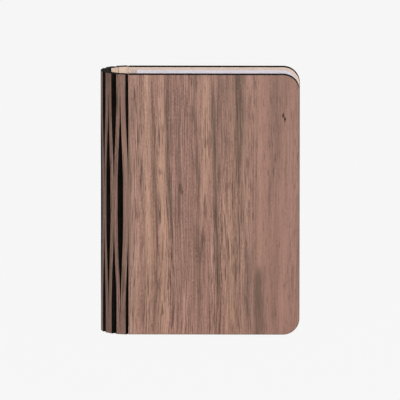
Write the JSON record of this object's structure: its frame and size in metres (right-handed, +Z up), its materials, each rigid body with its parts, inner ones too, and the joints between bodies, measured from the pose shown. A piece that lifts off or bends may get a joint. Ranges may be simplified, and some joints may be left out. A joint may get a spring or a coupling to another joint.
{
  "type": "folding book lamp",
  "caption": "Book-shaped folding lamp: wooden covers on a slit living-hinge spine, pleated paper leaves inside, light core in the spine; opens until the covers meet back to back.",
  "frame": {"origin": "bottom centre of the closed lamp's box", "axes": "+X to the fore edge, +Y to the back cover, +Z up along the spine; the front cover faces -Y"},
  "size_m": [0.092, 0.025, 0.122],
  "materials": {
    "walnut": "satin",
    "lining": "matte",
    "page": "matte",
    "shell": "satin",
    "frost": "frosted",
    "strip": "satin",
    "phosphor": "satin",
    "sleeve": "satin",
    "nickel": "satin",
    "board": "satin",
    "chip": "matte",
    "steel": "satin",
    "magnet": "polished"
  },
  "bodies": {
    "spine_root": {"spine_mid_3": "walnut", "core_pad": "shell", "core_housing": "shell", "core_cap_top": "shell", "core_cap_bottom": "shell", "diffuser": "frost", "led_board": "strip", "led_line": "phosphor", "cell": "sleeve", "cell_lead_plus": "nickel", "cell_lead_minus": "nickel", "circuit_board": "board", "hall_sensor": "chip", "charge_socket": "steel"},
    "strip_end_1": {"spine_bottom_1": "walnut"},
    "strip_end_2": {"spine_top_1": "walnut"},
    "strip_end_3": {"spine_bottom_2": "walnut"},
    "strip_end_4": {"spine_top_2": "walnut"},
    "strip_end_5": {"spine_bottom_3": "walnut"},
    "strip_end_6": {"spine_top_3": "walnut"},
    "strip_end_7": {"spine_top_4": "walnut"},
    "strip_end_8": {"spine_bottom_4": "walnut"},
    "strip_end_9": {"spine_top_5": "walnut"},
    "strip_end_10": {"spine_bottom_5": "walnut"},
    "strip_end_11": {"spine_top_6": "walnut"},
    "strip_end_12": {"spine_bottom_6": "walnut"},
    "spine_middle_1": {"spine_mid_1": "walnut"},
    "spine_middle_2": {"spine_mid_2": "walnut"},
    "spine_middle_4": {"spine_mid_4": "walnut"},
    "spine_middle_5": {"spine_mid_5": "walnut"},
    "front_cover": {"spine_mid_0": "walnut", "front_cover": "walnut", "front_lining": "lining", "page_front_1": "page", "front_magnet_top": "magnet", "front_magnet_bottom": "magnet"},
    "back_cover": {"spine_mid_6": "walnut", "back_cover": "walnut", "back_lining": "lining", "page_back_1": "page", "back_magnet_top": "magnet", "back_magnet_bottom": "magnet", "sensor_magnet": "magnet"},
    "leaf_front_2": {"page_front_2": "page"},
    "leaf_back_2": {"page_back_2": "page"},
    "leaf_front_3": {"page_front_3": "page"},
    "leaf_back_3": {"page_back_3": "page"},
    "leaf_front_4": {"page_front_4": "page"},
    "leaf_back_4": {"page_back_4": "page"},
    "leaf_front_5": {"page_front_5": "page"},
    "leaf_back_5": {"page_back_5": "page"},
    "leaf_front_6": {"page_front_6": "page"},
    "leaf_back_6": {"page_back_6": "page"},
    "leaf_front_7": {"page_front_7": "page"},
    "leaf_back_7": {"page_back_7": "page"},
    "leaf_front_8": {"page_front_8": "page"},
    "leaf_back_8": {"page_back_8": "page"},
    "leaf_front_9": {"page_front_9": "page"},
    "leaf_back_9": {"page_back_9": "page"}
  },
  "joints": [
    {"name": "front_bend_1", "type": "hinge", "parent": "spine_root", "child": "spine_middle_2", "pos_m": [-0.04395, -0.0028, 0.061], "axis": [0, 0, -1], "range_deg": [0, 61.88]},
    {"name": "front_bend_2", "type": "hinge", "parent": "spine_middle_2", "child": "spine_middle_1", "pos_m": [-0.04116, -0.00765, 0.061], "axis": [0, 0, -1], "range_deg": [0, 61.88]},
    {"name": "front_bend_3", "type": "hinge", "parent": "spine_middle_1", "child": "front_cover", "pos_m": [-0.03631, -0.01045, 0.061], "axis": [0, 0, -1], "range_deg": [0, 61.88]},
    {"name": "back_bend_1", "type": "hinge", "parent": "spine_root", "child": "spine_middle_4", "pos_m": [-0.04395, 0.0028, 0.061], "axis": [0, 0, 1], "range_deg": [0, 61.88]},
    {"name": "back_bend_2", "type": "hinge", "parent": "spine_middle_4", "child": "spine_middle_5", "pos_m": [-0.04116, 0.00765, 0.061], "axis": [0, 0, 1], "range_deg": [0, 61.88]},
    {"name": "back_bend_3", "type": "hinge", "parent": "spine_middle_5", "child": "back_cover", "pos_m": [-0.03631, 0.01045, 0.061], "axis": [0, 0, 1], "range_deg": [0, 61.88]},
    {"name": "strip_6_twist", "type": "hinge", "parent": "spine_root", "child": "strip_end_6", "pos_m": [-0.04394, -0.00137, 0.061], "axis": [0, 0, -1], "range_deg": [0, 30.95]},
    {"name": "strip_5_twist", "type": "hinge", "parent": "spine_middle_2", "child": "strip_end_5", "pos_m": [-0.04323, -0.00403, 0.061], "axis": [0, 0, 1], "range_deg": [0, 30.95]},
    {"name": "strip_4_twist", "type": "hinge", "parent": "spine_middle_2", "child": "strip_end_4", "pos_m": [-0.04186, -0.00641, 0.061], "axis": [0, 0, -1], "range_deg": [0, 30.95]},
    {"name": "strip_3_twist", "type": "hinge", "parent": "spine_middle_1", "child": "strip_end_3", "pos_m": [-0.03992, -0.00835, 0.061], "axis": [0, 0, 1], "range_deg": [0, 30.95]},
    {"name": "strip_2_twist", "type": "hinge", "parent": "spine_middle_1", "child": "strip_end_2", "pos_m": [-0.03754, -0.00972, 0.061], "axis": [0, 0, -1], "range_deg": [0, 30.95]},
    {"name": "strip_1_twist", "type": "hinge", "parent": "front_cover", "child": "strip_end_1", "pos_m": [-0.03488, -0.01043, 0.061], "axis": [0, 0, 1], "range_deg": [0, 30.95]},
    {"name": "strip_7_twist", "type": "hinge", "parent": "spine_root", "child": "strip_end_7", "pos_m": [-0.04394, 0.00137, 0.061], "axis": [0, 0, 1], "range_deg": [0, 30.95]},
    {"name": "strip_8_twist", "type": "hinge", "parent": "spine_middle_4", "child": "strip_end_8", "pos_m": [-0.04323, 0.00403, 0.061], "axis": [0, 0, -1], "range_deg": [0, 30.95]},
    {"name": "strip_9_twist", "type": "hinge", "parent": "spine_middle_4", "child": "strip_end_9", "pos_m": [-0.04186, 0.00641, 0.061], "axis": [0, 0, 1], "range_deg": [0, 30.95]},
    {"name": "strip_10_twist", "type": "hinge", "parent": "spine_middle_5", "child": "strip_end_10", "pos_m": [-0.03992, 0.00835, 0.061], "axis": [0, 0, -1], "range_deg": [0, 30.95]},
    {"name": "strip_11_twist", "type": "hinge", "parent": "spine_middle_5", "child": "strip_end_11", "pos_m": [-0.03754, 0.00972, 0.061], "axis": [0, 0, 1], "range_deg": [0, 30.95]},
    {"name": "strip_12_twist", "type": "hinge", "parent": "back_cover", "child": "strip_end_12", "pos_m": [-0.03488, 0.01043, 0.061], "axis": [0, 0, -1], "range_deg": [0, 30.95]},
    {"name": "front_fold_1", "type": "hinge", "parent": "front_cover", "child": "leaf_front_2", "pos_m": [0.0445, -0.00759, 0.061], "axis": [0, 0, -1], "range_deg": [0, 3.15]},
    {"name": "front_fold_2", "type": "hinge", "parent": "leaf_front_2", "child": "leaf_front_3", "pos_m": [-0.02874, -0.00664, 0.061], "axis": [0, 0, 1], "range_deg": [0, 61.21]},
    {"name": "front_fold_3", "type": "hinge", "parent": "leaf_front_3", "child": "leaf_front_4", "pos_m": [0.0445, -0.00569, 0.061], "axis": [0, 0, -1], "range_deg": [0, 4.47]},
    {"name": "front_fold_4", "type": "hinge", "parent": "leaf_front_4", "child": "leaf_front_5", "pos_m": [-0.02874, -0.00474, 0.061], "axis": [0, 0, 1], "range_deg": [0, 52.59]},
    {"name": "front_fold_5", "type": "hinge", "parent": "leaf_front_5", "child": "leaf_front_6", "pos_m": [0.0445, -0.00379, 0.061], "axis": [0, 0, -1], "range_deg": [0, 8.21]},
    {"name": "front_fold_6", "type": "hinge", "parent": "leaf_front_6", "child": "leaf_front_7", "pos_m": [-0.02874, -0.00284, 0.061], "axis": [0, 0, 1], "range_deg": [0, 51]},
    {"name": "front_fold_7", "type": "hinge", "parent": "leaf_front_7", "child": "leaf_front_8", "pos_m": [0.0445, -0.0019, 0.061], "axis": [0, 0, -1], "range_deg": [0, 6.86]},
    {"name": "front_fold_8", "type": "hinge", "parent": "leaf_front_8", "child": "leaf_front_9", "pos_m": [-0.02874, -0.00095, 0.061], "axis": [0, 0, 1], "range_deg": [0, 52.55]},
    {"name": "back_fold_1", "type": "hinge", "parent": "back_cover", "child": "leaf_back_2", "pos_m": [0.0445, 0.00759, 0.061], "axis": [0, 0, 1], "range_deg": [0, 3.15]},
    {"name": "back_fold_2", "type": "hinge", "parent": "leaf_back_2", "child": "leaf_back_3", "pos_m": [-0.02874, 0.00664, 0.061], "axis": [0, 0, -1], "range_deg": [0, 61.21]},
    {"name": "back_fold_3", "type": "hinge", "parent": "leaf_back_3", "child": "leaf_back_4", "pos_m": [0.0445, 0.00569, 0.061], "axis": [0, 0, 1], "range_deg": [0, 4.47]},
    {"name": "back_fold_4", "type": "hinge", "parent": "leaf_back_4", "child": "leaf_back_5", "pos_m": [-0.02874, 0.00474, 0.061], "axis": [0, 0, -1], "range_deg": [0, 52.59]},
    {"name": "back_fold_5", "type": "hinge", "parent": "leaf_back_5", "child": "leaf_back_6", "pos_m": [0.0445, 0.00379, 0.061], "axis": [0, 0, 1], "range_deg": [0, 8.21]},
    {"name": "back_fold_6", "type": "hinge", "parent": "leaf_back_6", "child": "leaf_back_7", "pos_m": [-0.02874, 0.00284, 0.061], "axis": [0, 0, -1], "range_deg": [0, 51]},
    {"name": "back_fold_7", "type": "hinge", "parent": "leaf_back_7", "child": "leaf_back_8", "pos_m": [0.0445, 0.0019, 0.061], "axis": [0, 0, 1], "range_deg": [0, 6.86]},
    {"name": "back_fold_8", "type": "hinge", "parent": "leaf_back_8", "child": "leaf_back_9", "pos_m": [-0.02874, 0.00095, 0.061], "axis": [0, 0, -1], "range_deg": [0, 52.55]}
  ],
  "couplings": [
    {"joint": "front_bend_2", "follows": "front_bend_1", "ratio": 1},
    {"joint": "front_bend_3", "follows": "front_bend_1", "ratio": 1},
    {"joint": "back_bend_1", "follows": "front_bend_1", "ratio": 1},
    {"joint": "back_bend_2", "follows": "front_bend_1", "ratio": 1},
    {"joint": "back_bend_3", "follows": "front_bend_1", "ratio": 1},
    {"joint": "strip_6_twist", "follows": "front_bend_1", "ratio": 0.5},
    {"joint": "strip_5_twist", "follows": "front_bend_1", "ratio": 0.5},
    {"joint": "strip_4_twist", "follows": "front_bend_1", "ratio": 0.5},
    {"joint": "strip_3_twist", "follows": "front_bend_1", "ratio": 0.5},
    {"joint": "strip_2_twist", "follows": "front_bend_1", "ratio": 0.5},
    {"joint": "strip_1_twist", "follows": "front_bend_1", "ratio": 0.5},
    {"joint": "strip_7_twist", "follows": "front_bend_1", "ratio": 0.5},
    {"joint": "strip_8_twist", "follows": "front_bend_1", "ratio": 0.5},
    {"joint": "strip_9_twist", "follows": "front_bend_1", "ratio": 0.5},
    {"joint": "strip_10_twist", "follows": "front_bend_1", "ratio": 0.5},
    {"joint": "strip_11_twist", "follows": "front_bend_1", "ratio": 0.5},
    {"joint": "strip_12_twist", "follows": "front_bend_1", "ratio": 0.5},
    {"joint": "front_fold_1", "follows": "front_bend_1", "ratio": 0.050516},
    {"joint": "front_fold_2", "follows": "front_bend_1", "ratio": 0.98886},
    {"joint": "front_fold_3", "follows": "front_bend_1", "ratio": 0.071855},
    {"joint": "front_fold_4", "follows": "front_bend_1", "ratio": 0.84957},
    {"joint": "front_fold_5", "follows": "front_bend_1", "ratio": 0.13243},
    {"joint": "front_fold_6", "follows": "front_bend_1", "ratio": 0.82395},
    {"joint": "front_fold_7", "follows": "front_bend_1", "ratio": 0.11058},
    {"joint": "front_fold_8", "follows": "front_bend_1", "ratio": 0.84892},
    {"joint": "back_fold_1", "follows": "front_bend_1", "ratio": 0.050516},
    {"joint": "back_fold_2", "follows": "front_bend_1", "ratio": 0.98886},
    {"joint": "back_fold_3", "follows": "front_bend_1", "ratio": 0.071855},
    {"joint": "back_fold_4", "follows": "front_bend_1", "ratio": 0.84957},
    {"joint": "back_fold_5", "follows": "front_bend_1", "ratio": 0.13243},
    {"joint": "back_fold_6", "follows": "front_bend_1", "ratio": 0.82395},
    {"joint": "back_fold_7", "follows": "front_bend_1", "ratio": 0.11058},
    {"joint": "back_fold_8", "follows": "front_bend_1", "ratio": 0.84892}
  ]
}
